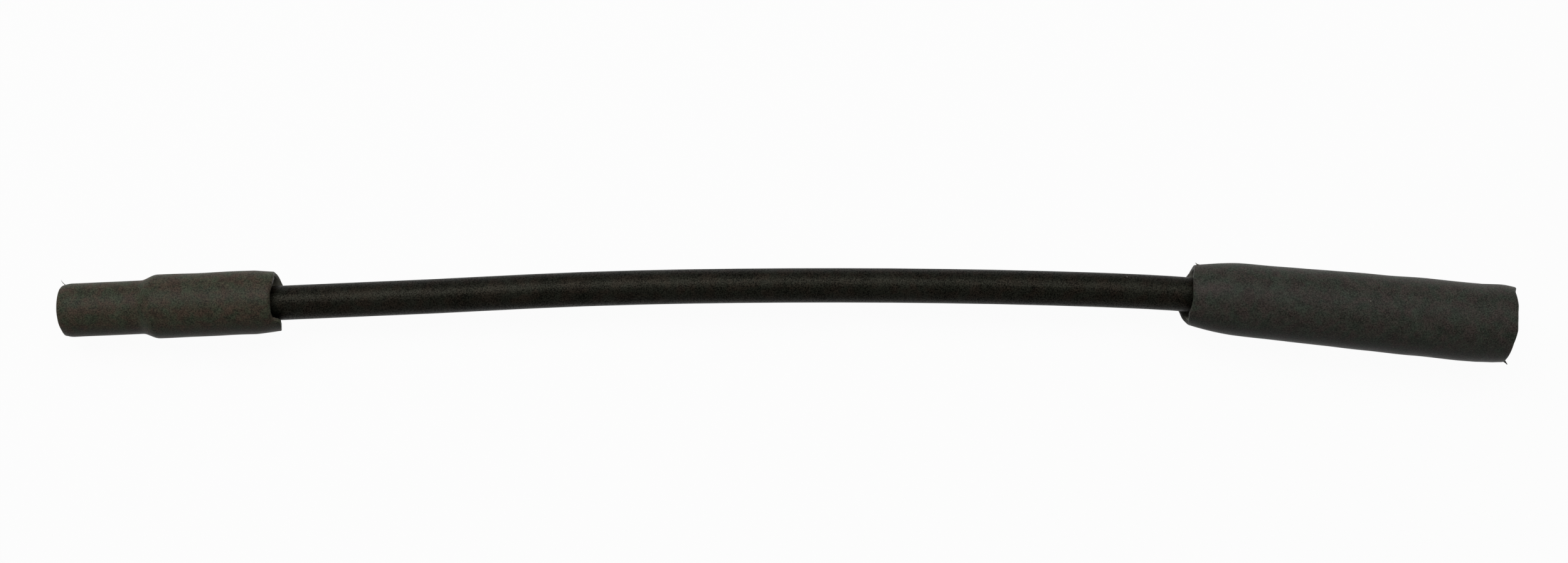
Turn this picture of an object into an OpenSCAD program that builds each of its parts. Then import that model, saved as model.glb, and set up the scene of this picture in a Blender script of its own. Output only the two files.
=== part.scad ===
// Mechanical cable shutter release, about 200 mm long.
//
// A push wire slides in a coiled steel conduit under a plastic jacket. Pushing the
// grip along the cable drives the wire, and the release pin comes out of the socket
// at the camera end. A spring brings the grip back. The socket turns freely on its
// ferrule, so that it screws on without twisting the cable. Both ends wear a sleeve
// of heat-shrink tube.
//
// Frame: the origin is the centre of the socket's mouth, +X runs into the release
// along the socket's axis, and +Z is up as the release lies on a table. The camera
// end is drawn in this frame. The grip end is drawn in a frame of its own, whose
// origin is the end of the cable's route and whose +X runs along the grip.

/* [Cable] */
// Outside diameter of the plastic jacket
jacket_d = 4.7; // [4.5:0.1:4.9]
// Wall of the plastic jacket
jacket_wall = 0.7; // [0.5:0.05:0.8]
// Bore of the coiled conduit, where the push wire slides
conduit_bore = 2.0; // [1.9:0.05:2.1]
// Diameter of the push wire
wire_d = 1.2; // [1.0:0.05:1.3]

/* [Stroke] */
// Travel of the grip, the push wire and the release pin
stroke = 7; // [5:0.5:7.5]

/* [Camera end] */
// Bore of the threaded socket
socket_d = 4.5; // [4.2:0.1:4.7]
// Depth of the threaded socket
socket_depth = 4.2; // [3.5:0.1:4.6]
// Diameter of the nose that carries the socket
nose_d = 6.1; // [5.8:0.1:6.4]
// Length of the nose in front of the collar
nose_len = 10.3; // [9.6:0.1:12]
// Thickness of the wall behind the socket, which the pin passes
web_t = 2.2; // [1.6:0.1:2.6]
// Length of the nose's shank inside the collar
shank_len = 4; // [3:0.1:4.4]
// Step from the nose down to its shank, on the radius
shank_step = 0.3; // [0.25:0.05:0.4]
// Wall of the swivel collar round its bush
collar_wall = 0.5; // [0.4:0.05:0.6]
// Wall of the bush in the swivel collar
bush_wall = 0.45; // [0.35:0.05:0.6]
// Length of the cone at the front of the collar
collar_cone = 1.4; // [0.8:0.1:2]
// Thickness of the ferrule's flange, which holds the collar on
flange_t = 1.5; // [1:0.1:1.8]
// Wall of the ferrule where it is crimped on the jacket
tip_ferrule_wall = 0.35; // [0.3:0.05:0.4]
// Length of jacket held in the camera-end ferrule
tip_crimp_len = 5.9; // [4.5:0.1:7]
// Diameter of the release pin
pin_d = 1.5; // [1.4:0.05:1.6]
// Length of the sleeve that joins the pin to the wire
joiner_len = 4; // [3:0.1:4.5]
// Wall of the sleeve that joins the pin to the wire
joiner_wall = 0.45; // [0.3:0.05:0.45]
// Wall of the pin's guide tube
guide_wall = 0.4; // [0.3:0.05:0.5]

/* [Grip end] */
// Wall of the guide tube that the grip slides on
stem_wall = 0.55; // [0.4:0.05:0.7]
// Inside diameter of the guide tube
stem_bore = 5.5; // [5.4:0.1:5.6]
// Length of jacket held in the grip-end ferrule
grip_crimp_len = 4.4; // [3.5:0.1:5]
// Thickness of the grip-end ferrule's flange
stem_flange_t = 1.8; // [1.2:0.1:2.4]
// Length of the return spring with the grip at rest
spring_len = 10.4; // [10.4:0.1:12]
// Diameter of the return spring's wire
spring_wire = 0.4; // [0.3:0.05:0.4]
// Gap between the return spring and the guide tube round it
spring_gap = 0.25; // [0.2:0.05:0.4]
// Turns of the return spring
spring_turns = 7; // [5:0.5:7]
// Diameter of the plunger rod
rod_d = 2.5; // [2.3:0.1:2.6]
// Length of wire held in the plunger rod
rod_socket_len = 3; // [2.5:0.1:3.5]
// Thickness of the piston
piston_t = 1.8; // [1.2:0.1:2.4]
// Length of the gland nut inside the guide tube
gland_len = 1.6; // [1.2:0.1:2.4]
// Thickness of the gland nut's head
gland_head_t = 0.8; // [0.6:0.1:1.2]
// Bore of the thumb barrel
barrel_bore = 7.4; // [7.3:0.05:7.6]
// Outside diameter of the thumb barrel at its mouth
barrel_front_d = 8.7; // [8.6:0.05:9]
// Outside diameter of the thumb barrel at its closed end
barrel_rear_d = 9.5; // [9.3:0.05:9.9]
// Length of the thumb barrel in front of the ferrule's flange
barrel_skirt = 2.5; // [1.5:0.1:3.5]
// Length of the thumb barrel's parallel part at the closed end
barrel_parallel = 10; // [6:0.5:14]
// Length of the bush that runs on the guide tube
bush_len = 4; // [3:0.1:5]
// Length of the end cap's plug inside the thumb barrel
cap_plug_len = 2.2; // [1.6:0.1:3]
// Thickness of the end cap's rim
cap_rim_t = 1; // [0.8:0.1:1.4]
// Bevel round the end cap's thumb face
cap_bevel = 0.6; // [0.3:0.1:0.7]

/* [Heat-shrink sleeves] */
// Wall of the shrunk tube
sleeve_wall = 0.6; // [0.5:0.05:0.7]
// Length that the tip sleeve stands past the nose
tip_lip = 0.8; // [0.5:0.1:1.2]
// Amount that the tip sleeve's lip draws in, on the radius
tip_lip_draw = 0.1; // [0.05:0.05:0.3]
// Length that the tip sleeve stands past the collar
tip_skirt = 2.9; // [2:0.1:3.5]
// Amount that the tip sleeve draws in at the cable, on the radius
tip_skirt_draw = 0.3; // [0.1:0.05:0.35]
// Slant of the tip sleeve's cut at the cable
tip_cut_angle = 5; // [0:0.5:8]
// Length that the grip sleeve stands past the thumb barrel's mouth
grip_skirt = 7; // [5:0.1:8]
// Amount that the grip sleeve draws in at the cable, on the radius
grip_skirt_draw = 0.9; // [0.5:0.05:1]
// Length that the grip sleeve stands past the end cap
grip_lip = 2.5; // [1.5:0.1:3]
// Amount that the grip sleeve's lip draws in, on the radius
grip_lip_draw = 0.2; // [0.1:0.05:0.35]

/* [Hidden] */

$fn = 64;
over = 0.5;             // how far a cutter runs past the face that it cuts
run_gap = 0.05;         // radial clearance of a sliding fit
turn_gap = 0.1;         // clearance of a turning fit, and of the ends of moving pieces
wire_gap = 0.1;         // gap between two stretches of the push wire
seat_gap = 0.02;        // radial gap round the jacket and the conduit where they are held
washer_t = 0.3;         // thickness of both washers
jacket_setback = 1.5;   // bare conduit past the jacket's end, in each ferrule
conduit_setback = 0.5;  // from the pin's joiner to the conduit
end_wall = 0.6;         // wall of the grip-end ferrule behind the conduit
rod_nose = 2;           // length of the plunger rod in front of the piston
cap_pin_d = 0.8;        // diameter of the end cap's cross pin
tube_sides = 12;        // sides of the jacket and the conduit
wire_sides = 8;         // sides of a bent or coiled wire
shoulder_lead = 0.2;    // share of the cone's length by which the tip sleeve's shoulder leads it
shoulder_top = 0.75;    // share of the cone's length where the shoulder is stretched thin
lip_share = 0.8;        // share of the sleeves' wall that is left at a stretched lip or shoulder
skirt_cut = 0.2;        // least that is cut off the tip sleeve's skirt, on its axis
coil_rings = 16;        // rings in a turn of the return spring

// Route of the free cable in the XY plane. It is straight up to the first point,
// and straight again past the last, where the grip's axis turns off by grip_turn.
route = [
    [49, 0], [56, 0.05], [63, 0.1], [70, 0.09], [77, 0], [84, -0.15], [91, -0.36],
    [98, -0.61], [105, -0.9], [112, -1.23], [119, -1.61], [126, -2.03], [133, -2.5],
    [140, -3.02], [146, -3.53], [150, -3.93], [154, -4.4], [158, -4.92],
    [161.8, -5.45]
];
grip_turn = 8;

// Cable
conduit_d = jacket_d - 2*jacket_wall;
route_end = route[len(route) - 1];

// Camera end, from the socket's mouth
chamber_x = socket_depth + web_t;
shank_x = nose_len + shank_len;
washer_x = shank_x + turn_gap;
flange_x = washer_x + washer_t + turn_gap;
bush_x = flange_x + flange_t + turn_gap;
pin_x = socket_depth + turn_gap;
joiner_d = pin_d + 2*joiner_wall;
joiner_x = chamber_x + stroke + 4*turn_gap;
pin_end_x = joiner_x + joiner_len/2;
conduit_x = joiner_x + joiner_len + conduit_setback;
jacket_x = conduit_x + jacket_setback;
tip_ferrule_end = jacket_x + tip_crimp_len;
collar_end = tip_ferrule_end - conduit_setback;
guide_bore = joiner_d + 2*turn_gap;
guide_d = guide_bore + 2*guide_wall;
guide_x = chamber_x + 4*turn_gap;
guide_end = flange_x + flange_t;
tip_ferrule_d = jacket_d + 2*tip_ferrule_wall;
bush_bore = tip_ferrule_d + 2*turn_gap;
collar_bore = bush_bore + 2*bush_wall;
collar_d = collar_bore + 2*collar_wall;
flange_d = collar_bore - 2*turn_gap;
shank_d = nose_d - 2*shank_step;

// Grip end, from the end of the cable's route
stem_d = stem_bore + 2*stem_wall;
stem_flange_x = turn_gap;
jacket_end = stem_flange_x + grip_crimp_len;
conduit_end = jacket_end + jacket_setback;
grip_ferrule_end = conduit_end + end_wall;
spring_x = grip_ferrule_end + washer_t;
spring_d = stem_bore - 2*spring_gap;
piston_x = spring_x + spring_len;
piston_d = stem_bore - 2*run_gap;
gland_x = piston_x + piston_t;
stem_end = gland_x + gland_len;
gland_end = stem_end + gland_head_t;
rod_x = piston_x - rod_nose;
rod_bore_end = rod_x + rod_socket_len;
cap_x = gland_end + stroke + 3*turn_gap;
barrel_end = cap_x + cap_plug_len;
cap_end = barrel_end + cap_rim_t;
rod_end = barrel_end - turn_gap;
barrel_x = stem_flange_x - barrel_skirt;
bush_grip_x = stem_flange_x + stem_flange_t + stroke + turn_gap;
cap_pin_x = cap_x + cap_plug_len/2;

// Turns a profile of [distance along X, radius] about the X axis
module turned(profile)
    rotate([0, 90, 0])
        rotate_extrude()
            polygon([for (p = profile) [p[1], p[0]]]);

// A rod along X
module rod(x0, x1, d)
    translate([x0, 0, 0])
        rotate([0, 90, 0])
            cylinder(h = x1 - x0, d = d);

// A tube along X
module tube(x0, x1, d, bore)
    difference() {
        rod(x0, x1, d);
        rod(x0 - over, x1 + over, bore);
    }

// Carries its children to the end of the cable's route, in line with the grip
module at_grip()
    translate([route_end[0], route_end[1], 0])
        rotate([0, 0, -grip_turn])
            children();

// A point on the grip's axis, in the camera end's frame
function on_grip(u) = route_end + u*[cos(grip_turn), -sin(grip_turn)];

// Heading of a path at its point i
function heading(path, i) =
    i == 0 ? 0 :
    i == len(path) - 1 ? -grip_turn :
    let (step = path[i + 1] - path[i - 1]) atan2(step[1], step[0]);

// Points of a ring of radius r round the point p, square to the heading a
function ring(p, a, r, sides) = [for (j = [0:sides - 1])
    let (across = r*cos(360*j/sides), up = r*sin(360*j/sides))
    [p[0] - across*sin(a), p[1] + across*cos(a), up]];

// Side faces between rings, of which ring i starts at point number first + i*step
function walls(rings, sides, step, first = 0) = [for (i = [0:rings - 2], j = [0:sides - 1])
    let (a = first + i*step, b = a + step, k = (j + 1) % sides)
    [a + j, b + j, b + k, a + k]];

function reversed(faces) = [for (f = faces) [for (i = [len(f) - 1:-1:0]) f[i]]];

// A wire swept along a path in the XY plane
module swept_wire(path, d, sides) {
    rings = len(path);
    points = [for (i = [0:rings - 1]) each ring(path[i], heading(path, i), d/2, sides)];
    start = [[for (j = [0:sides - 1]) j]];
    end = reversed([[for (j = [0:sides - 1]) (rings - 1)*sides + j]]);
    polyhedron(points, concat(start, walls(rings, sides, sides), end));
}

// A tube swept along a path in the XY plane
module swept_tube(path, d, bore, sides) {
    rings = len(path);
    points = [for (i = [0:rings - 1], r = [d/2, bore/2]) each ring(path[i], heading(path, i), r, sides)];
    outside = walls(rings, sides, 2*sides);
    inside = reversed(walls(rings, sides, 2*sides, sides));
    start = reversed(walls(2, sides, sides));
    end = walls(2, sides, sides, 2*(rings - 1)*sides);
    polyhedron(points, concat(outside, inside, start, end));
}

// ---- Camera end ----

// Sleeve of heat-shrink tube over the nose and the collar, open at both ends
module tip_sleeve() {
    nose_r = nose_d/2;
    collar_r = collar_d/2;
    skirt_end = collar_end + tip_skirt;
    inner = [
        [-tip_lip, nose_r - tip_lip_draw],
        [0, nose_r],
        [nose_len, nose_r],
        [nose_len + collar_cone, collar_r],
        [collar_end, collar_r],
        [skirt_end, collar_r - tip_skirt_draw]
    ];
    outer = [
        [skirt_end, collar_r - tip_skirt_draw + sleeve_wall],
        [collar_end, collar_r + sleeve_wall],
        [nose_len + collar_cone, collar_r + sleeve_wall],
        [nose_len + shoulder_top*collar_cone, collar_r + lip_share*sleeve_wall],
        [nose_len - shoulder_lead*collar_cone, nose_r + sleeve_wall],
        [0, nose_r + sleeve_wall],
        [-tip_lip, nose_r - tip_lip_draw + lip_share*sleeve_wall]
    ];
    color([0.17, 0.17, 0.16])
        difference() {
            turned(concat(inner, outer));
            translate([skirt_end - skirt_cut, 0, 0])
                rotate([0, 0, tip_cut_angle])
                    translate([0, -collar_d, -collar_d])
                        cube([collar_d, 2*collar_d, 2*collar_d]);
        }
}

// Nose with the threaded socket, a wall for the pin, and a shank for the collar
module socket_nose()
    color("silver")
        difference() {
            union() {
                rod(0, nose_len, nose_d);
                rod(nose_len, shank_x, shank_d);
            }
            rod(-over, socket_depth, socket_d);
            rod(-over, shank_x, pin_d + 2*turn_gap);
            rod(chamber_x, shank_x + over, guide_d + 2*turn_gap);
        }

// Collar that turns on the ferrule and carries the nose
module swivel_collar()
    color([0.80, 0.66, 0.35])
        difference() {
            turned([
                [nose_len, 0],
                [nose_len, nose_d/2],
                [nose_len + collar_cone, collar_d/2],
                [collar_end, collar_d/2],
                [collar_end, 0]
            ]);
            rod(nose_len - over, shank_x + over, shank_d);
            rod(shank_x, collar_end + over, collar_bore);
        }

// Bush pressed in the collar behind the flange
module collar_bush()
    color([0.72, 0.52, 0.30])
        tube(bush_x, collar_end, collar_bore, bush_bore);

// Thin washer between the shank and the flange
module friction_washer()
    color("gainsboro")
        tube(washer_x, washer_x + washer_t, flange_d, guide_d + 2*turn_gap);

// Ferrule crimped on the cable, with the flange that holds the collar
module tip_ferrule()
    color("silver")
        difference() {
            union() {
                rod(flange_x, guide_end, flange_d);
                rod(guide_end, tip_ferrule_end, tip_ferrule_d);
            }
            rod(flange_x - over, guide_end, guide_d);
            rod(flange_x - over, conduit_x, guide_bore);
            rod(conduit_x, jacket_x + over, conduit_d + 2*seat_gap);
            rod(jacket_x, tip_ferrule_end + over, jacket_d + 2*seat_gap);
        }

// Tube pressed in the ferrule, which guides the pin's joiner
module pin_guide()
    color([0.80, 0.66, 0.35])
        tube(guide_x, guide_end, guide_d, guide_bore);

// Pin that pushes the camera's release, with a rounded tip
module release_pin()
    color("silver")
        union() {
            rod(pin_x + pin_d/2, pin_end_x, pin_d);
            translate([pin_x + pin_d/2, 0, 0])
                sphere(d = pin_d);
        }

// Sleeve soldered round the pin's tail and the wire's end
module pin_joiner()
    color([0.80, 0.66, 0.35])
        difference() {
            rod(joiner_x, joiner_x + joiner_len, joiner_d);
            rod(joiner_x - over, pin_end_x, pin_d);
            rod(pin_end_x - over, joiner_x + joiner_len + over, wire_d);
        }

// ---- Cable ----

// Push wire, drawn in three stretches because it bends as it slides
module wire_front()
    color("gray")
        rod(pin_end_x, route[0][0] - wire_gap, wire_d);

module wire_middle()
    color("gray")
        swept_wire(route, wire_d, wire_sides);

module wire_rear()
    color("gray")
        rod(wire_gap, rod_bore_end, wire_d);

// Close-wound steel conduit, drawn as its outline
module conduit()
    color("darkgray")
        swept_tube(concat([[conduit_x, 0]], route, [on_grip(conduit_end)]),
            conduit_d, conduit_bore, tube_sides);

// Smooth plastic jacket over the conduit
module jacket()
    color([0.09, 0.09, 0.09])
        swept_tube(concat([[jacket_x, 0]], route, [on_grip(jacket_end)]),
            jacket_d, conduit_d + 2*seat_gap, tube_sides);

// ---- Grip end, fixed to the cable ----

// Ferrule crimped on the cable, pressed in the guide tube
module grip_ferrule()
    color("silver")
        difference() {
            union() {
                rod(stem_flange_x, stem_flange_x + stem_flange_t, stem_d);
                rod(stem_flange_x + stem_flange_t, grip_ferrule_end, stem_bore);
            }
            rod(stem_flange_x - over, jacket_end, jacket_d + 2*seat_gap);
            rod(jacket_end - over, conduit_end, conduit_d + 2*seat_gap);
            rod(conduit_end - over, grip_ferrule_end + over, conduit_bore);
        }

// Tube that holds the spring and guides the thumb barrel
module guide_tube()
    color([0.80, 0.66, 0.35])
        tube(stem_flange_x + stem_flange_t, stem_end, stem_d, stem_bore);

// Washer under the fixed end of the spring
module spring_seat()
    color("gainsboro")
        tube(grip_ferrule_end, spring_x, stem_bore - 2*run_gap, conduit_bore);

// Points of the spring's ring i, whose wire centres lie on the radius r
function spring_ring(i, r) = [for (j = [0:wire_sides - 1])
    let (
        a = 360*j/wire_sides,
        turned_by = 360*i/coil_rings,
        along = (spring_len - spring_wire)*i/(coil_rings*spring_turns),
        out = r + spring_wire/2*cos(a)
    )
    [spring_wire/2*(1 - sin(a)) + along, out*cos(turned_by), out*sin(turned_by)]];

// Return spring between the washer and the piston
module return_spring() {
    rings = coil_rings*spring_turns + 1;
    points = [for (i = [0:rings - 1]) each spring_ring(i, (spring_d - spring_wire)/2)];
    start = [[for (j = [0:wire_sides - 1]) j]];
    end = reversed([[for (j = [0:wire_sides - 1]) (rings - 1)*wire_sides + j]]);
    color("silver")
        translate([spring_x, 0, 0])
            polyhedron(points, concat(start, walls(rings, wire_sides, wire_sides), end));
}

// Gland nut that closes the guide tube and stops the piston
module gland_nut()
    color([0.80, 0.66, 0.35])
        difference() {
            union() {
                rod(gland_x, stem_end, stem_bore);
                rod(stem_end, gland_end, stem_d);
            }
            rod(gland_x - over, gland_end + over, rod_d + 2*run_gap);
        }

// ---- Grip end, sliding ----

// Piston brazed on the rod
module piston()
    color([0.80, 0.66, 0.35])
        tube(piston_x, gland_x, piston_d, rod_d);

// Rod from the push wire to the end cap
module plunger_rod()
    color("silver")
        difference() {
            rod(rod_x, rod_end, rod_d);
            rod(rod_x - over, rod_bore_end, wire_d);
            cap_pin_hole();
        }

// Hole for the cross pin, through the rod and the cap's plug
module cap_pin_hole()
    translate([cap_pin_x, 0, 0])
        cylinder(h = 2*barrel_bore, d = cap_pin_d, center = true);

// Cross pin that locks the rod in the end cap
module cap_pin()
    color("silver")
        translate([cap_pin_x, 0, 0])
            cylinder(h = barrel_bore - 2*turn_gap, d = cap_pin_d, center = true);

// Barrel under the grip sleeve, slightly tapered, closed by the end cap
module thumb_barrel()
    color([0.78, 0.79, 0.80])
        difference() {
            turned([
                [barrel_x, 0],
                [barrel_x, barrel_front_d/2],
                [barrel_end - barrel_parallel, barrel_rear_d/2],
                [barrel_end, barrel_rear_d/2],
                [barrel_end, 0]
            ]);
            rod(barrel_x - over, barrel_end + over, barrel_bore);
        }

// Plastic bush pressed in the barrel, running on the guide tube
module barrel_bush()
    color("ivory")
        tube(bush_grip_x, bush_grip_x + bush_len, barrel_bore, stem_d + 2*run_gap);

// Cap that closes the barrel and takes the thumb
module end_cap()
    color([0.78, 0.79, 0.80])
        difference() {
            turned([
                [cap_x, 0],
                [cap_x, barrel_bore/2],
                [barrel_end, barrel_bore/2],
                [barrel_end, barrel_rear_d/2],
                [cap_end - cap_bevel, barrel_rear_d/2],
                [cap_end, barrel_rear_d/2 - cap_bevel],
                [cap_end, 0]
            ]);
            rod(cap_x - over, rod_end, rod_d);
            cap_pin_hole();
        }

// Sleeve of heat-shrink tube over the thumb barrel, open at both ends
module grip_sleeve() {
    front_r = barrel_front_d/2;
    rear_r = barrel_rear_d/2;
    mouth_x = barrel_x - grip_skirt;
    lip_x = cap_end + grip_lip;
    // Depth of the draw-in at a share t of the skirt, from the barrel to the mouth
    function drawn(t) = grip_skirt_draw*(1 - cos(90*t));
    steps = 6;
    inner = [
        for (i = [steps:-1:1]) [barrel_x - grip_skirt*i/steps, front_r - drawn(i/steps)],
        [barrel_x, front_r],
        [barrel_end - barrel_parallel, rear_r],
        [cap_end, rear_r],
        [lip_x, rear_r - grip_lip_draw]
    ];
    outer = [
        [lip_x, rear_r - grip_lip_draw + lip_share*sleeve_wall],
        [cap_end, rear_r + sleeve_wall],
        [barrel_end - barrel_parallel, rear_r + sleeve_wall],
        [barrel_x, front_r + sleeve_wall],
        for (i = [1:steps])
            [barrel_x - grip_skirt*i/steps, front_r - drawn(i/steps) + sleeve_wall]
    ];
    color([0.17, 0.17, 0.16])
        turned(concat(inner, outer));
}

tip_sleeve();
socket_nose();
swivel_collar();
collar_bush();
friction_washer();
tip_ferrule();
pin_guide();
release_pin();
pin_joiner();
wire_front();
wire_middle();
at_grip() wire_rear();
conduit();
jacket();
at_grip() grip_ferrule();
at_grip() guide_tube();
at_grip() spring_seat();
at_grip() return_spring();
at_grip() piston();
at_grip() plunger_rod();
at_grip() gland_nut();
at_grip() thumb_barrel();
at_grip() barrel_bush();
at_grip() end_cap();
at_grip() cap_pin();
at_grip() grip_sleeve();
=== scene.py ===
import math

import bmesh
import bpy
from mathutils import Matrix, Vector, noise


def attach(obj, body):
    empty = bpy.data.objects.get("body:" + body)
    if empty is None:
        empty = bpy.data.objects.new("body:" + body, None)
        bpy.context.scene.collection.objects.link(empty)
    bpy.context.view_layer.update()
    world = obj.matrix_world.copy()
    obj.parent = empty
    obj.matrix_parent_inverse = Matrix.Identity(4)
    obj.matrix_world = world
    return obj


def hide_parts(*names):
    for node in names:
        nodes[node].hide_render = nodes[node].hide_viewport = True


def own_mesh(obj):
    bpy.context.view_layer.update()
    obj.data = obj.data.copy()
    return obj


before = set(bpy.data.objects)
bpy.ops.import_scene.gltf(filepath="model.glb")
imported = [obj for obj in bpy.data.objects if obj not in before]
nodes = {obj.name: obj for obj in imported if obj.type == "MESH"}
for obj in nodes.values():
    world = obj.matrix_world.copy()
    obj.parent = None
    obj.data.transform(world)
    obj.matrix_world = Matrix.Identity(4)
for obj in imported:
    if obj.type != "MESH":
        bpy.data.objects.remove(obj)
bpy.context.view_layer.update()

# ---- Camera ----
# A 50 mm lens 0.3 m straight above the release, turned a little so that the bow of
# the cable lies level in the picture.
CAMERA_PLACE = (0.0972, -0.00004, 0.2968)
CAMERA_TURN = math.radians(-2.47)


def new_object(name, data):
    """Object with this data, in the scene."""
    made = bpy.data.objects.new(name, data)
    bpy.context.scene.collection.objects.link(made)
    return made


camera = new_object("camera", bpy.data.cameras.new("camera"))
camera.location = CAMERA_PLACE
camera.rotation_euler = (0, 0, CAMERA_TURN)
camera.data.lens = 50
camera.data.sensor_width = 36
bpy.context.scene.camera = camera
bpy.context.scene.view_settings.view_transform = "Standard"

# ---- Jacket ----
# The jacket is soft PVC extruded over the wound conduit, near black. The die leaves it
# satin with faint lines along it, and handling adds dull patches and specks of dust.
# It is one free cord between the two fittings, which are crimped on its ends.
MM = 0.001
JACKET_RADIUS = 2.35*MM
JACKET_WALL = 0.67*MM
JACKET_START, JACKET_END = 19.8*MM, 4.5*MM
ROUTE = [
    (49, 0), (56, 0.05), (63, 0.1), (70, 0.09), (77, 0), (84, -0.15), (91, -0.36),
    (98, -0.61), (105, -0.9), (112, -1.23), (119, -1.61), (126, -2.03), (133, -2.5),
    (140, -3.02), (146, -3.53), (150, -3.93), (154, -4.4), (158, -4.92),
    (161.8, -5.45),
]
GRIP_TURN = math.radians(-8)
at_socket = Matrix.Identity(4)
at_grip = (Matrix.Translation((ROUTE[-1][0]*MM, ROUTE[-1][1]*MM, 0))
           @ Matrix.Rotation(GRIP_TURN, 4, "Z"))


def along_cable(start, end):
    """Points of the cable's line, from start on the socket's axis to end on the grip's."""
    run = [Vector((start, 0, 0))] + [Vector((x*MM, y*MM, 0)) for x, y in ROUTE]
    return run + [at_grip @ Vector((end, 0, 0))]


def srgb(text):
    """Linear colour of an sRGB hex value."""
    parts = [int(text[i:i + 2], 16)/255 for i in (1, 3, 5)]
    return [p/12.92 if p <= 0.04045 else ((p + 0.055)/1.055)**2.4 for p in parts] + [1]


def add(tree, kind, inputs=None, **settings):
    """Adds a node to a tree, makes its settings, and fills or links its inputs."""
    made = tree.nodes.new(kind)
    for name, value in settings.items():
        setattr(made, name, value)
    for key, value in (inputs or {}).items():
        if isinstance(value, bpy.types.Node):
            value = value.outputs[0]
        if isinstance(value, bpy.types.NodeSocket):
            tree.links.new(value, made.inputs[key])
        else:
            made.inputs[key].default_value = value
    return made


def new_tree(name, sizes):
    """Geometry Nodes tree with these named inputs, what it is given and what it returns."""
    tree = bpy.data.node_groups.new(name, "GeometryNodeTree")
    for label, kind in {"Geometry": "NodeSocketGeometry", **sizes}.items():
        tree.interface.new_socket(label, in_out="INPUT", socket_type=kind)
    tree.interface.new_socket("Geometry", in_out="OUTPUT", socket_type="NodeSocketGeometry")
    return tree, add(tree, "NodeGroupInput").outputs, add(tree, "NodeGroupOutput").inputs


def line_of(points):
    """Mesh object of one open line through points."""
    mesh = bpy.data.meshes.new("line")
    mesh.from_pydata(points, [(i, i + 1) for i in range(len(points) - 1)], [])
    return new_object("line", mesh)


def shaped(name, carrier, tree, sizes, wall=0):
    """Plain mesh object of a carrier after a tree with these sizes, and a wall inwards."""
    modifier = carrier.modifiers.new(tree.name, "NODES")
    modifier.node_group = tree
    for socket in tree.interface.items_tree:
        if socket.in_out == "INPUT" and socket.name in sizes:
            modifier[socket.identifier] = sizes[socket.name]
    if wall:
        solidify = carrier.modifiers.new("wall", "SOLIDIFY")
        solidify.thickness = wall
        solidify.offset = -1
    whole = carrier.evaluated_get(bpy.context.evaluated_depsgraph_get())
    made = new_object(name, bpy.data.meshes.new_from_object(whole))
    bpy.data.objects.remove(carrier)
    made.data.shade_smooth()
    return made


def new_material(name, shader):
    """Node material with a Principled shader set up so, its tree and the shader."""
    made = bpy.data.materials.new(name)
    made.use_nodes = True
    tree = made.node_tree
    tree.nodes.clear()
    surface = add(tree, "ShaderNodeBsdfPrincipled", shader)
    add(tree, "ShaderNodeOutputMaterial", {"Surface": surface})
    return made, tree, surface


def mixed(tree, share, low, high):
    """Mix of two values by a share from 0 to 1."""
    return add(tree, "ShaderNodeMix", {0: share, 2: low, 3: high}, data_type="FLOAT").outputs[0]


def tinted(tree, share, low, high):
    """Mix of two colours by a share from 0 to 1, each of them an sRGB hex value or a socket."""
    low, high = [srgb(c) if isinstance(c, str) else c for c in (low, high)]
    return add(tree, "ShaderNodeMix", {0: share, 6: low, 7: high}, data_type="RGBA").outputs[2]


def between(tree, value, low, high, start=0.0, end=1.0):
    """Value taken from low..high to start..end, and held there."""
    return add(tree, "ShaderNodeMapRange", {
        "Value": value, "From Min": low, "From Max": high, "To Min": start, "To Max": end,
    }).outputs[0]


# A tube round a line. Each of its points keeps its lie, which is how far along the line it
# is and where in the round, so that a pattern can follow the bends.
sheath, given, result = new_tree("sheath", {
    "Radius": "NodeSocketFloat", "Sides": "NodeSocketInt", "Ring spacing": "NodeSocketFloat",
    "Material": "NodeSocketMaterial"})
rail = add(sheath, "GeometryNodeMeshToCurve", {"Mesh": given["Geometry"]})
rail = add(sheath, "GeometryNodeResampleCurve",
           {"Curve": rail, "Length": given["Ring spacing"]}, mode="LENGTH")
profile = add(sheath, "GeometryNodeCurvePrimitiveCircle",
              {"Resolution": given["Sides"], "Radius": given["Radius"]})
section = add(sheath, "GeometryNodeCaptureAttribute")
section.capture_items.new("VECTOR", "section")
sheath.links.new(profile.outputs[0], section.inputs[0])
sheath.links.new(add(sheath, "GeometryNodeInputPosition").outputs[0], section.inputs[1])
reach = add(sheath, "GeometryNodeCaptureAttribute")
reach.capture_items.new("FLOAT", "reach")
sheath.links.new(rail.outputs[0], reach.inputs[0])
sheath.links.new(add(sheath, "GeometryNodeSplineParameter").outputs["Length"], reach.inputs[1])
skin = add(sheath, "GeometryNodeCurveToMesh",
           {"Curve": reach.outputs[0], "Profile Curve": section.outputs[0]})
across = add(sheath, "ShaderNodeSeparateXYZ", {0: section.outputs[1]}).outputs
lie = add(sheath, "ShaderNodeCombineXYZ", {0: reach.outputs[1], 1: across[0], 2: across[1]})
skin = add(sheath, "GeometryNodeStoreNamedAttribute",
           {"Geometry": skin, "Name": "lie", "Value": lie},
           data_type="FLOAT_VECTOR", domain="POINT")
skin = add(sheath, "GeometryNodeRealizeInstances", {0: skin})
skin = add(sheath, "GeometryNodeSetMaterial", {0: skin, "Material": given["Material"]})
sheath.links.new(skin.outputs[0], result[0])

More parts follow.
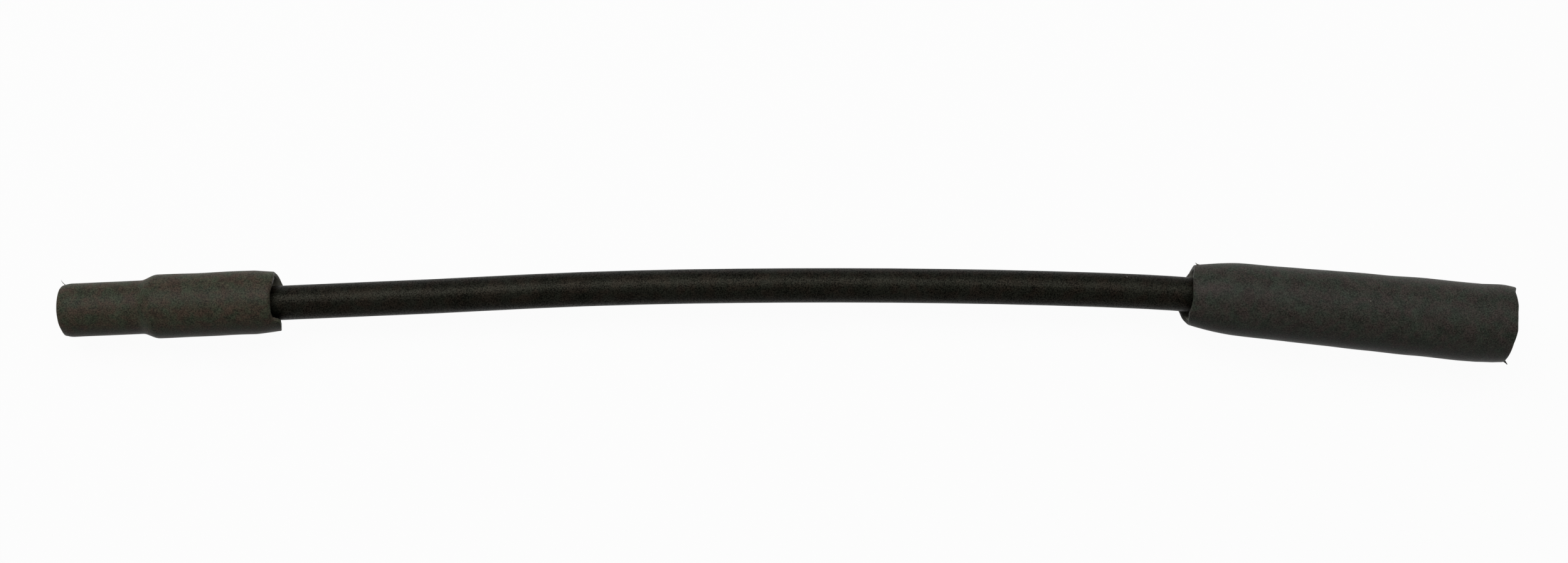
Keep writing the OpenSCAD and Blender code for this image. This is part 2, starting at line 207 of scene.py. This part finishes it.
# Extruded PVC with carbon black, its sheen patchy, and the yellow of its sheen a painted warm
# tint that stands in for warm lamplight. Its grain and its die lines are 0.05 mm apart, and are
# drawn coarser so that they show.
GRAIN_WIDTH = 0.19*MM
DIE_LINE_WIDTH, DIE_LINE_LENGTH = 0.4*MM, 10*MM
TINT_WIDTH = 1.7*MM
PATCH_WIDTH = 3.8*MM
DUST_RADIUS, DUST_SPACING = 0.06*MM, 4.2*MM
RELIEF_DEPTH = 0.05*MM
# The yellow Specular Tint is painted warm light in the jacket's highlight.
pvc_jacket, tree, surface = new_material("extruded_pvc", {
    "IOR": 1.53, "Specular Tint": (1, 0.98, 0.78, 1)})
lie = add(tree, "ShaderNodeAttribute", attribute_name="lie").outputs["Vector"]
drawn_out = add(tree, "ShaderNodeMapping",
                {"Vector": lie, "Scale": (DIE_LINE_WIDTH/DIE_LINE_LENGTH, 1, 1)})
die_lines = add(tree, "ShaderNodeTexNoise",
                {"Vector": drawn_out, "Scale": 1/DIE_LINE_WIDTH, "Detail": 2, "Roughness": 0.6})
patches = add(tree, "ShaderNodeTexNoise",
              {"Vector": lie, "Scale": 1/PATCH_WIDTH, "Detail": 5, "Roughness": 0.65})
tints = add(tree, "ShaderNodeTexNoise",
            {"Vector": lie, "Scale": 1/TINT_WIDTH, "Detail": 1, "Roughness": 0.5})
grain = add(tree, "ShaderNodeTexNoise",
            {"Vector": lie, "Scale": 1/GRAIN_WIDTH, "Detail": 4, "Roughness": 0.75})
dust = add(tree, "ShaderNodeTexVoronoi", {"Vector": lie, "Scale": 1/DUST_SPACING})
mottled = mixed(tree, 0.82, patches, grain)
tone = between(tree, mottled, 0.4, 0.64)
plastic = tinted(tree, between(tree, tints, 0.42, 0.6), tinted(tree, tone, "#000000", "#12130e"),
                 tinted(tree, tone, "#000000", "#18120d"))
speck = DUST_RADIUS/DUST_SPACING
plastic = tinted(tree, between(tree, dust, 0.8*speck, 1.4*speck, 1, 0), plastic, "#8d8d88")
relief = add(tree, "ShaderNodeBump", {
    "Strength": 1, "Distance": RELIEF_DEPTH, "Height": mixed(tree, 0.65, die_lines, grain)})
tree.links.new(plastic, surface.inputs["Base Color"])
tree.links.new(between(tree, patches, 0.35, 0.65, 0.36, 0.43), surface.inputs["Roughness"])
tree.links.new(between(tree, mottled, 0.4, 0.6, 0.015, 0.105),
               surface.inputs["Specular IOR Level"])
tree.links.new(relief.outputs[0], surface.inputs["Normal"])

jacket_line = along_cable(JACKET_START, JACKET_END)
jacket = shaped("cable_jacket", line_of(jacket_line), sheath, {
    "Radius": JACKET_RADIUS, "Sides": 48, "Ring spacing": 1.5*MM, "Material": pvc_jacket},
    wall=JACKET_WALL)
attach(jacket, "cable")
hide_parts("jacket")

# ---- Table and light ----
# The release lies on a plain white table, which touches both sleeves and so tips by a
# third of a degree. Two lamps hang over the far side of it in a white room, the stronger
# one on the left.
TIP_REST = (11.7*MM, -4.35*MM)
GRIP_REST = (182.5*MM, -5.35*MM)
TABLE_GAP = 0.05*MM
TABLE_HALF = 1.5
fall = (GRIP_REST[1] - TIP_REST[1])/(GRIP_REST[0] - TIP_REST[0])
middle = camera.location.x
table_mesh = bpy.data.meshes.new("table")
table_mesh.from_pydata(
    [(middle + x*TABLE_HALF, y*TABLE_HALF,
      TIP_REST[1] - TABLE_GAP + fall*(middle + x*TABLE_HALF - TIP_REST[0]))
     for x, y in [(-1, -1), (1, -1), (1, 1), (-1, 1)]], [], [(0, 1, 2, 3)])
table = new_object("table", table_mesh)


def in_sight(tree):
    """1 for what the lens, metal or glass sees, and 0 for what only throws light."""
    path = add(tree, "ShaderNodeLightPath").outputs
    seen = add(tree, "ShaderNodeMath", {0: path["Is Camera Ray"], 1: path["Is Glossy Ray"]},
               operation="MAXIMUM")
    return add(tree, "ShaderNodeMath", {0: seen, 1: path["Is Transmission Ray"]},
               operation="MAXIMUM")


# Painted board, plain white where the lens, metal or glass sees it, less a faint shadow.
BOARD_WHITE = 0.96
painted_board, tree, surface = new_material("painted_board", {
    "Base Color": srgb("#a8a8a6"), "Roughness": 0.9, "Specular IOR Level": 0})
share = add(tree, "ShaderNodeMath", {0: in_sight(tree), 1: BOARD_WHITE}, operation="MULTIPLY")
white = add(tree, "ShaderNodeEmission", {"Color": (1, 1, 1, 1), "Strength": 1})
board = add(tree, "ShaderNodeMixShader", {0: share, 1: surface, 2: white})
tree.links.new(board.outputs[0], tree.nodes["Material Output"].inputs["Surface"])
table_mesh.materials.append(painted_board)

# The room is dim where it only throws light, and plain white where it is seen.
ROOM_LIGHT = 0.05
world = bpy.data.worlds.new("room")
world.use_nodes = True
bpy.context.scene.world = world
tree = world.node_tree
tree.nodes.clear()
glow = between(tree, in_sight(tree), 0, 1, ROOM_LIGHT, 1)
room = add(tree, "ShaderNodeBackground", {"Color": (1, 1, 1, 1), "Strength": glow})
add(tree, "ShaderNodeOutputWorld", {"Surface": room})

LAMP_TILT = math.radians(31)
LAMP_DISTANCE = 0.6
LAMP_WIDTH = 0.34
for name, aside, power in (("lamp_left", -0.17, 3.4), ("lamp_right", 0.16, 1.55)):
    lamp = new_object(name, bpy.data.lights.new(name, "AREA"))
    lamp.data.shape = "DISK"
    lamp.data.size = LAMP_WIDTH
    lamp.data.energy = power
    lamp.location = (middle + aside, LAMP_DISTANCE*math.sin(LAMP_TILT),
                     LAMP_DISTANCE*math.cos(LAMP_TILT))
    aim = Vector((middle, 0, 0)) - lamp.location
    lamp.rotation_euler = aim.to_track_quat("-Z", "Y").to_euler()

# ---- Conduit ----
# The conduit is a close-wound coil of 0.65 mm galvanised steel wire, which bends with
# the cable but can't be squeezed shorter, so it takes the push wire's reaction. It is
# bare for its last 1.5 mm at both ends, where it butts against the ferrules.
CONDUIT_RADIUS = 1.65*MM
CONDUIT_WIRE = 0.65*MM
CONDUIT_BARE = 1.5*MM

# Wire wound round a line. The points of the wire are spread along the line, evenly or
# closer at its ends, then swung out round it, and the wire gets its round section.
wound_wire, given, result = new_tree("wound_wire", {
    "Coil radius": "NodeSocketFloat", "Wire radius": "NodeSocketFloat",
    "Turns": "NodeSocketFloat", "Steps per turn": "NodeSocketInt", "Sides": "NodeSocketInt",
    "Closed ends": "NodeSocketFloat", "Material": "NodeSocketMaterial"})
rail = add(wound_wire, "GeometryNodeMeshToCurve", {"Mesh": given["Geometry"]})
steps = add(wound_wire, "ShaderNodeMath", {0: given["Turns"], 1: given["Steps per turn"]},
            operation="MULTIPLY")
count = add(wound_wire, "ShaderNodeMath", {0: steps, 1: 1}, operation="ADD")
wire = add(wound_wire, "GeometryNodeMeshLine", {"Count": count})
share = add(wound_wire, "ShaderNodeMath",
            {0: add(wound_wire, "GeometryNodeInputIndex"), 1: steps}, operation="DIVIDE")
eased = add(wound_wire, "ShaderNodeMapRange", {"Value": share},
            interpolation_type="SMOOTHSTEP")
spot = add(wound_wire, "GeometryNodeSampleCurve",
           {"Curves": rail, "Factor": mixed(wound_wire, given["Closed ends"], share, eased)},
           mode="FACTOR").outputs
across = add(wound_wire, "ShaderNodeVectorMath", {0: spot["Tangent"], 1: spot["Normal"]},
             operation="CROSS_PRODUCT").outputs[0]
angle = add(wound_wire, "ShaderNodeMath", {0: share, 1: given["Turns"]}, operation="MULTIPLY")
angle = add(wound_wire, "ShaderNodeMath", {0: angle, 1: 2*math.pi}, operation="MULTIPLY")
swung = spot["Position"]
for operation, direction in (("COSINE", spot["Normal"]), ("SINE", across)):
    swing = add(wound_wire, "ShaderNodeMath", {0: angle}, operation=operation)
    swing = add(wound_wire, "ShaderNodeMath", {0: swing, 1: given["Coil radius"]},
                operation="MULTIPLY")
    swing = add(wound_wire, "ShaderNodeVectorMath", {0: direction, "Scale": swing},
                operation="SCALE")
    swung = add(wound_wire, "ShaderNodeVectorMath", {0: swung, 1: swing}, operation="ADD")
wire = add(wound_wire, "GeometryNodeSetPosition", {"Geometry": wire, "Position": swung})
wire = add(wound_wire, "GeometryNodeMeshToCurve", {"Mesh": wire})
profile = add(wound_wire, "GeometryNodeCurvePrimitiveCircle",
              {"Resolution": given["Sides"], "Radius": given["Wire radius"]})
wire = add(wound_wire, "GeometryNodeCurveToMesh",
           {"Curve": wire, "Profile Curve": profile, "Fill Caps": True})
wire = add(wound_wire, "GeometryNodeRealizeInstances", {0: wire})
wire = add(wound_wire, "GeometryNodeSetMaterial", {0: wire, "Material": given["Material"]})
wound_wire.links.new(wire.outputs[0], result[0])

TARNISH_WIDTH = 2.4*MM
MARK_DEPTH = 0.02*MM


def worked_metal(name, colour, dark, roughness, marks, place=at_socket):
    """Metal with patches of tarnish, and tool marks this wide round a place's X axis."""
    made, tree, surface = new_material(name, {"Metallic": 1, "Roughness": roughness})
    point = add(tree, "ShaderNodeTexCoord").outputs["Object"]
    own = add(tree, "ShaderNodeMapping", {
        "Vector": point, "Location": place.to_translation(), "Rotation": place.to_euler()},
        vector_type="TEXTURE")
    parts = add(tree, "ShaderNodeSeparateXYZ", {0: own}).outputs
    flat = add(tree, "ShaderNodeCombineXYZ", {1: parts[1], 2: parts[2]})
    radius = add(tree, "ShaderNodeVectorMath", {0: flat}, operation="LENGTH").outputs["Value"]
    lathe = add(tree, "ShaderNodeCombineXYZ", {0: parts[0], 1: radius})
    grooves = add(tree, "ShaderNodeTexNoise",
                  {"Vector": lathe, "Scale": 1/marks, "Detail": 2, "Roughness": 0.5},
                  noise_dimensions="2D")
    tarnish = add(tree, "ShaderNodeTexNoise",
                  {"Vector": point, "Scale": 1/TARNISH_WIDTH, "Detail": 4, "Roughness": 0.6})
    relief = add(tree, "ShaderNodeBump",
                 {"Strength": 0.4, "Distance": MARK_DEPTH, "Height": grooves})
    tree.links.new(tinted(tree, between(tree, tarnish, 0.35, 0.7), colour, dark),
                   surface.inputs["Base Color"])
    tree.links.new(between(tree, tarnish, 0.3, 0.7, 0.8*roughness, 1.4*roughness),
                   surface.inputs["Roughness"])
    tree.links.new(relief.outputs[0], surface.inputs["Normal"])
    return made


def coated(material, *names):
    """Puts a material on CAD nodes."""
    for name in names:
        for holder in nodes[name].material_slots:
            holder.material = material


# Galvanised steel wire, dull and greased, so its gleam is broad and grey. Its draw marks
# are drawn 0.3 mm apart.
galvanised_wire = worked_metal("galvanised_wire", "#9c9d9b", "#6f6d66", 0.42, 0.3*MM)
conduit_line = along_cable(JACKET_START - CONDUIT_BARE, JACKET_END + CONDUIT_BARE)
conduit_length = sum((b - a).length for a, b in zip(conduit_line, conduit_line[1:]))
conduit = shaped("conduit_coil", line_of(conduit_line), wound_wire, {
    "Coil radius": CONDUIT_RADIUS - CONDUIT_WIRE/2, "Wire radius": CONDUIT_WIRE/2,
    "Turns": round(conduit_length/CONDUIT_WIRE), "Steps per turn": 14, "Sides": 6,
    "Material": galvanised_wire})
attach(conduit, "cable")
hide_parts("conduit")

# ---- Push wire ----
# The push wire is one steel wire, 1.2 mm thick and lightly oiled. It slides in the
# conduit from the pin's joiner to the plunger rod.

# Hard-drawn steel, smooth enough to show a narrow bright line along it. Its draw marks are
# drawn 0.25 mm apart.
drawn_wire = worked_metal("hard_drawn_steel", "#b3b1ac", "#8a8780", 0.3, 0.25*MM)
coated(drawn_wire, "wire_front", "wire_middle", "wire_rear")

# ---- Nose and thread ----
# The nose is turned brass, nickel plated. Its socket has a cut thread, and the pin comes
# out through the web behind it.
THREAD_RADIUS = 2.25*MM
THREAD_PITCH = 0.5*MM
THREAD_DEPTH = 0.16*MM
THREAD_START, THREAD_END = 0.3*MM, 3.9*MM

# Nickel plating over turned brass, a warm bright grey. Its turning marks of 0.1 mm are
# drawn 0.25 mm apart, as on the other turned pieces.
TURNING_MARKS = 0.25*MM
nickel_plate = worked_metal("nickel_plated_brass", "#c8c3b4", "#a39c8a", 0.24, TURNING_MARKS)
coated(nickel_plate, "socket_nose")
thread_line = [Vector((THREAD_START, 0, 0)), Vector((THREAD_END, 0, 0))]
thread = shaped("socket_thread", line_of(thread_line), wound_wire, {
    "Coil radius": THREAD_RADIUS, "Wire radius": THREAD_DEPTH,
    "Turns": (THREAD_END - THREAD_START)/THREAD_PITCH, "Steps per turn": 48, "Sides": 6,
    "Material": nickel_plate})
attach(thread, "swivel")

# ---- Swivel ----
# The collar turns on a ferrule crimped to the cable: bare turned brass round a pressed
# bush of sintered bronze, with a thin steel washer against the nose's shank.

# Bare brass is yellow with brown tarnish, oily bronze is dark and dull with its pores drawn
# 0.4 mm wide, and ground steel is the brightest of the three.
turned_brass = worked_metal("turned_brass", "#cfae6b", "#9d7f47", 0.28, TURNING_MARKS)
sintered_bronze = worked_metal("sintered_bronze", "#9a7549", "#5f452b", 0.48, 0.4*MM)
bright_steel = worked_metal("bright_steel", "#c2c1be", "#94928d", 0.2, TURNING_MARKS)
coated(turned_brass, "swivel_collar")
coated(sintered_bronze, "collar_bush")
coated(bright_steel, "friction_washer")
coated(nickel_plate, "tip_ferrule")

# ---- Pin ----
# The release pin is ground steel with a rounded tip. A brass sleeve is soldered round
# its tail and the push wire, and runs in a brass guide tube.
coated(bright_steel, "release_pin")
coated(turned_brass, "pin_joiner", "pin_guide")

# ---- Tip sleeve ----
# Thin polyolefin heat-shrink tube, cut with scissors and shrunk over the nose and the
# collar. It keeps their steps as soft shoulders, and its cut ends stay square and rough.
TIP_OUTER = [
    (-2, 3.36), (-0.8, 3.43), (0, 3.65), (10.02, 3.65), (11.35, 4.23), (11.7, 4.35),
    (25.2, 4.35), (28.1, 4.05), (30, 3.9),
]
TIP_INNER = [
    (-2, 2.9), (-0.8, 2.95), (0, 3.05), (10.3, 3.05), (11.7, 3.75), (25.2, 3.75),
    (28.1, 3.45), (30, 3.3),
]
TIP_FRONT_CUT = [
    (0, -0.8), (30, -0.95), (90, -0.95), (120, -0.88), (143, -0.76), (180, -0.83),
    (270, -0.84), (360, -0.8),
]
TIP_REAR_CUT = [
    (0, 27.8), (9, 27.85), (28, 28.2), (50, 28.18), (60, 28.05), (72, 27.93),
    (115, 27.92), (124, 28.0), (128, 28.15), (132, 28.6), (136, 28.93), (141, 29.0),
    (151, 28.95), (172, 28.66), (180, 28.53), (188, 28.35), (205, 27.95), (235, 27.75),
    (270, 28.0), (300, 28.25), (312, 28.08), (333, 27.9), (344, 27.76), (360, 27.8),
]
TIP_LEAN = [(-2, 0.23), (30, 0.23)]

# Heat-shrink polyolefin, filled with carbon black: matt, mottled between olive and brown,
# and paler inside. Its grain is as fine as the jacket's, and is drawn as coarse.
CLOUD_WIDTH = 1.6*MM
STAIN_WIDTH = 1.4*MM
SPECK_RADIUS, SPECK_SPACING = 0.08*MM, 5*MM


def heat_shrink_tube(name, olive, brown):
    """Material of one tube, with the dark and the light of its two tints."""
    made, tree, surface = new_material(name, {
        "IOR": 1.5, "Specular IOR Level": 0.072, "Diffuse Roughness": 0.4})
    point = add(tree, "ShaderNodeTexCoord").outputs["Object"]
    grain = add(tree, "ShaderNodeTexNoise",
                {"Vector": point, "Scale": 1/GRAIN_WIDTH, "Detail": 4, "Roughness": 0.75})
    clouds = add(tree, "ShaderNodeTexNoise",
                 {"Vector": point, "Scale": 1/CLOUD_WIDTH, "Detail": 3, "Roughness": 0.6})
    stains = add(tree, "ShaderNodeTexNoise",
                 {"Vector": point, "Scale": 1/STAIN_WIDTH, "Detail": 3, "Distortion": 0.3})
    specks = add(tree, "ShaderNodeTexVoronoi", {"Vector": point, "Scale": 1/SPECK_SPACING})
    pale = add(tree, "ShaderNodeAttribute", attribute_name="pale").outputs["Fac"]
    tone = between(tree, mixed(tree, 0.82, clouds, grain), 0.4, 0.61)
    plastic = tinted(tree, between(tree, stains, 0.36, 0.64), tinted(tree, tone, *olive),
                     tinted(tree, tone, *brown))
    plastic = tinted(tree, pale, plastic, "#85847a")
    speck = SPECK_RADIUS/SPECK_SPACING
    plastic = tinted(tree, between(tree, specks, 0.6*speck, 1.2*speck, 0.8, 0), plastic,
                     "#77766b")
    relief = add(tree, "ShaderNodeBump", {
        "Strength": 1, "Distance": RELIEF_DEPTH, "Height": mixed(tree, 0.3, grain, clouds)})
    tree.links.new(plastic, surface.inputs["Base Color"])
    tree.links.new(between(tree, clouds, 0.3, 0.7, 0.44, 0.51), surface.inputs["Roughness"])
    tree.links.new(relief.outputs[0], surface.inputs["Normal"])
    return made


def read_off(table, x):
    """Value at x of a table of (x, value) rows, which goes on straight past its ends."""
    for (x0, v0), (x1, v1) in zip(table, table[1:]):
        if x <= x1:
            break
    return v0 + (x - x0)/(x1 - x0)*(v1 - v0)


def softened(table, x, reach):
    """Value at x of such a table, averaged over reach to either side."""
    spots = [x + reach*k/3 for k in range(-3, 4)]
    return sum(read_off(table, spot) for spot in spots)/len(spots)


def plastic_piece(name, material, points, faces, pale):
    """Mesh object with its faces outwards, and how pale the plastic is at each point."""
    mesh = bpy.data.meshes.new(name)
    mesh.from_pydata(points, [], faces)
    shape = bmesh.new()
    shape.from_mesh(mesh)
    bmesh.ops.recalc_face_normals(shape, faces=shape.faces)
    shape.to_mesh(mesh)
    shape.free()
    mesh.attributes.new("pale", "FLOAT", "POINT").data.foreach_set("value", pale)
    mesh.materials.append(material)
    return new_object(name, mesh)


def shrunk_sleeve(name, material, place, outer, inner, front, rear, lean, held, lumps):
    """Sleeve along the X axis of a place, from tables in mm.

    Outer and inner give its radii along X. Front and rear are its two cuts, as (degrees
    round from +Y over the top, x). Lean is how far it lies off to +Y, though its inside
    keeps true to its metal from held[0] to held[1]. Lumps is how far the surface wanders.
    """
    sides, outer_rows, inner_rows = 144, 110, 40
    lump_length, lump_turns, lump_seed = 5, 1.1, 7
    softness, held_fade = 0.3, 2
    rim_pale, inside_pale = 0.05, 0.6
    # The skin and the inside stop short of the cuts, and the rims bulge out to them.
    bulge, rim = 0.07, (0.15, 0.5, 0.85)
    section = [(k/outer_rows, bulge, 0, 0) for k in range(outer_rows + 1)]
    section += [(1, 0, depth, rim_pale) for depth in rim]
    section += [(1 - k/inner_rows, bulge, 1, inside_pale) for k in range(inner_rows + 1)]
    section += [(0, 0, depth, rim_pale) for depth in reversed(rim)]
    points, pale = [], []
    for share, inset, depth, paleness in section:
        for j in range(sides):
            a = 2*math.pi*j/sides
            x0, x1 = read_off(front, 360*j/sides), read_off(rear, 360*j/sides)
            x = x0 + inset + share*(x1 - x0 - 2*inset)
            lump = noise.noise(Vector((x/lump_length, lump_turns*math.cos(a) + lump_seed,
                                       lump_turns*math.sin(a))))
            r = softened(outer, x, softness) + lumps*lump
            r += depth*(read_off(inner, x) - r)
            past_held = max(held[0] - x, x - held[1], 0)
            loose = 1 if depth < 1 else min(1, past_held/held_fade)
            y = r*math.cos(a) + loose*read_off(lean, x)
            points.append(place @ Vector((x*MM, y*MM, r*math.sin(a)*MM)))
            pale.append(paleness)
    faces = []
    for i in range(len(section)):
        k = (i + 1) % len(section)
        for j in range(sides):
            m = (j + 1) % sides
            faces.append((i*sides + j, i*sides + m, k*sides + m, k*sides + j))
    made = plastic_piece(name, material, points, faces, pale)
    made.data.shade_smooth()
    return made


tip_tube = heat_shrink_tube("polyolefin_heat_shrink", olive=("#0c0f07", "#3d4234"),
                            brown=("#120d08", "#463b31"))
tip_sleeve = shrunk_sleeve(
    "tip_heat_shrink", tip_tube, at_socket, outer=TIP_OUTER, inner=TIP_INNER,
    front=TIP_FRONT_CUT, rear=TIP_REAR_CUT, lean=TIP_LEAN, held=(0, 25.2), lumps=0.05)
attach(tip_sleeve, "swivel")
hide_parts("tip_sleeve")

# ---- Grip, fixed parts ----
# On the cable's other end a nickel-plated ferrule is crimped and pressed into a brass
# guide tube, which a brass gland nut closes. A steel washer seats the spring.

# Nickel, brass and steel as at the tip, with their marks round the grip's own axis.
grip_nickel = worked_metal("nickel_plated_ferrule", "#c8c3b4", "#a39c8a", 0.24, TURNING_MARKS,
                           at_grip)
grip_brass = worked_metal("drawn_brass_tube", "#cfae6b", "#9d7f47", 0.26, TURNING_MARKS,
                          at_grip)
grip_steel = worked_metal("turned_steel", "#c2c1be", "#94928d", 0.22, TURNING_MARKS, at_grip)
coated(grip_nickel, "grip_ferrule")
coated(grip_brass, "guide_tube", "gland_nut")
coated(grip_steel, "spring_seat")

# ---- Return spring ----
# The spring is coiled from 0.4 mm music wire with its end turns drawn close. It is
# squeezed between the washer and the piston as the grip slides in.
SPRING_RADIUS = 2.5*MM
SPRING_WIRE = 0.4*MM
SPRING_TURNS = 7
SPRING_START, SPRING_END = 6.9*MM, 17.3*MM

# Music wire as coiled, a darker grey than the turned steel, with a soft gleam. Its draw
# marks are drawn 0.3 mm apart.
music_wire = worked_metal("music_wire", "#a9a8a5", "#77746e", 0.28, 0.3*MM, at_grip)
spring_line = [at_grip @ Vector((SPRING_START + SPRING_WIRE/2, 0, 0)),
               at_grip @ Vector((SPRING_END - SPRING_WIRE/2, 0, 0))]
spring = shaped("coil_spring", line_of(spring_line), wound_wire, {
    "Coil radius": SPRING_RADIUS - SPRING_WIRE/2, "Wire radius": SPRING_WIRE/2,
    "Turns": SPRING_TURNS, "Steps per turn": 40, "Sides": 10, "Closed ends": 0.5,
    "Material": music_wire})
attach(spring, "cable")
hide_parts("return_spring")
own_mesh(spring)

# ---- Grip, sliding parts ----
# The plunger rod carries a brazed brass piston and is pinned in the end cap. The barrel
# and its cap are turned aluminium, and a moulded nylon bush runs on the guide tube.

# Bare turned aluminium, the palest of the metals and a little soft in its gleam. Its
# turning marks are drawn 0.3 mm apart.
turned_aluminium = worked_metal("turned_aluminium", "#d3d4d5", "#a8a9aa", 0.3, 0.3*MM, at_grip)
coated(grip_steel, "plunger_rod", "cap_pin")
coated(grip_brass, "piston")
coated(turned_aluminium, "thumb_barrel", "end_cap")

# Moulded nylon, waxy and slightly translucent, with a fine spark-eroded texture that is
# drawn 0.3 mm wide.
ERODED_WIDTH, ERODED_DEPTH = 0.3*MM, 0.01*MM
YELLOWED_WIDTH = 3*MM
moulded_nylon, tree, surface = new_material("moulded_nylon", {
    "IOR": 1.53, "Roughness": 0.45, "Subsurface Weight": 0.15, "Subsurface Radius": (1, 0.9, 0.7),
    "Subsurface Scale": 0.6*MM})
point = add(tree, "ShaderNodeTexCoord").outputs["Object"]
eroded = add(tree, "ShaderNodeTexNoise",
             {"Vector": point, "Scale": 1/ERODED_WIDTH, "Detail": 2, "Roughness": 0.6})
yellowed = add(tree, "ShaderNodeTexNoise",
               {"Vector": point, "Scale": 1/YELLOWED_WIDTH, "Detail": 3})
relief = add(tree, "ShaderNodeBump",
             {"Strength": 0.4, "Distance": ERODED_DEPTH, "Height": eroded})
tree.links.new(tinted(tree, between(tree, yellowed, 0.35, 0.65), "#e9e4d3", "#d8cfb4"),
               surface.inputs["Base Color"])
tree.links.new(relief.outputs[0], surface.inputs["Normal"])
coated(moulded_nylon, "barrel_bush")

# ---- Grip sleeve ----
# A longer, wider length of the same heat-shrink tube covers the barrel and its cap. It
# draws in where it stands past the barrel's mouth, and its ends are rough scissor cuts.
GRIP_OUTER = [
    (-12, 3.8), (-9.4, 4.07), (-8.23, 4.3), (-7.07, 4.5), (-5.9, 4.69), (-4.73, 4.83),
    (-3.57, 4.92), (-2.4, 4.95), (21.0, 5.35), (32.4, 5.35), (33.5, 5.25), (34.5, 5.1),
    (36, 4.8),
]
GRIP_INNER = [
    (-12, 3.2), (-9.4, 3.45), (-8.23, 3.68), (-7.07, 3.9), (-5.9, 4.09), (-4.73, 4.23),
    (-3.57, 4.32), (-2.4, 4.35), (21.0, 4.75), (32.0, 4.75), (34.5, 4.55), (36, 4.4),
]
GRIP_FRONT_CUT = [
    (0, -9.3), (20, -9.5), (43, -9.74), (74, -9.78), (99, -9.63), (121, -9.73),
    (132, -9.85), (147, -9.72), (166, -9.5), (180, -9.2), (188, -9.27), (200, -9.48),
    (214, -9.88), (229, -10.15), (240, -10.5), (275, -10.2), (305, -9.75), (318, -9.4),
    (335, -9.28), (360, -9.3),
]
GRIP_REAR_CUT = [
    (0, 34.42), (14, 34.3), (27, 33.86), (33, 33.77), (59, 33.8), (72, 33.69),
    (88, 33.72), (99, 33.83), (109, 33.75), (120, 33.63), (157, 33.6), (180, 33.65),
    (230, 33.8), (300, 34.0), (345, 34.3), (360, 34.42),
]
GRIP_LEAN = [(-12, -0.12), (30, -0.12), (33, 0.08), (36, 0.08)]
grip_tube = heat_shrink_tube("polyolefin_heat_shrink_grip", olive=("#0a0d08", "#363b33"),
                             brown=("#0f0c09", "#3d3733"))
grip_sleeve = shrunk_sleeve(
    "grip_heat_shrink", grip_tube, at_grip, outer=GRIP_OUTER, inner=GRIP_INNER,
    front=GRIP_FRONT_CUT, rear=GRIP_REAR_CUT, lean=GRIP_LEAN, held=(-2.4, 32), lumps=0.06)
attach(grip_sleeve, "grip")
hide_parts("grip_sleeve")

# ---- Whiskers ----
# The scissors left a thin whisker at the tip sleeve's front end, and a small burr and a
# lifted flap at the corners of the grip sleeve. They are slivers of the same tube.
TIP_WHISKER = [(-0.4, 3.48, 0.2), (-0.64, 3.74, 0.25), (-0.94, 4.04, 0.25), (-1.08, 4.24, 0.2),
               (-1.16, 4.42, 0.1)]
GRIP_BURR = [(33.6, -4.8, 0), (34.1, -5.02, 0), (34.47, -5.4, 0.05)]
GRIP_FLAP = [(-8.7, 3.98, 0.4), (-9.0, 4.1, 0.4), (-9.24, 4.3, 0.4)]


def sliver(name, material, place, points, width, body):
    """Thread of sleeve plastic through points of a place in mm, width at its root."""
    sides, taper, pale = 6, 0.85, 0.3
    points = [Vector(p) for p in points]
    last = len(points) - 1
    rings, faces = [], []
    for i, p in enumerate(points):
        ahead = (points[min(i + 1, last)] - points[max(i - 1, 0)]).normalized()
        side = ahead.cross(Vector((0, 0, 1))).normalized()
        up = side.cross(ahead)
        r = width/2*(1 - taper*i/last)
        for a in (2*math.pi*j/sides for j in range(sides)):
            rings.append(place @ ((p + r*(side*math.cos(a) + up*math.sin(a)))*MM))
    for i in range(last):
        for j in range(sides):
            k = (j + 1) % sides
            faces.append((i*sides + j, i*sides + k, (i + 1)*sides + k, (i + 1)*sides + j))
    faces += [tuple(range(sides)), tuple(range(last*sides, len(rings)))]
    made = plastic_piece(name, material, rings, faces, [pale]*len(rings))
    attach(made, body)


sliver("tip_whisker", tip_tube, at_socket, TIP_WHISKER, width=0.13, body="swivel")
sliver("grip_burr", grip_tube, at_grip, GRIP_BURR, width=0.5, body="grip")
sliver("grip_flap", grip_tube, at_grip, GRIP_FLAP, width=0.3, body="grip")
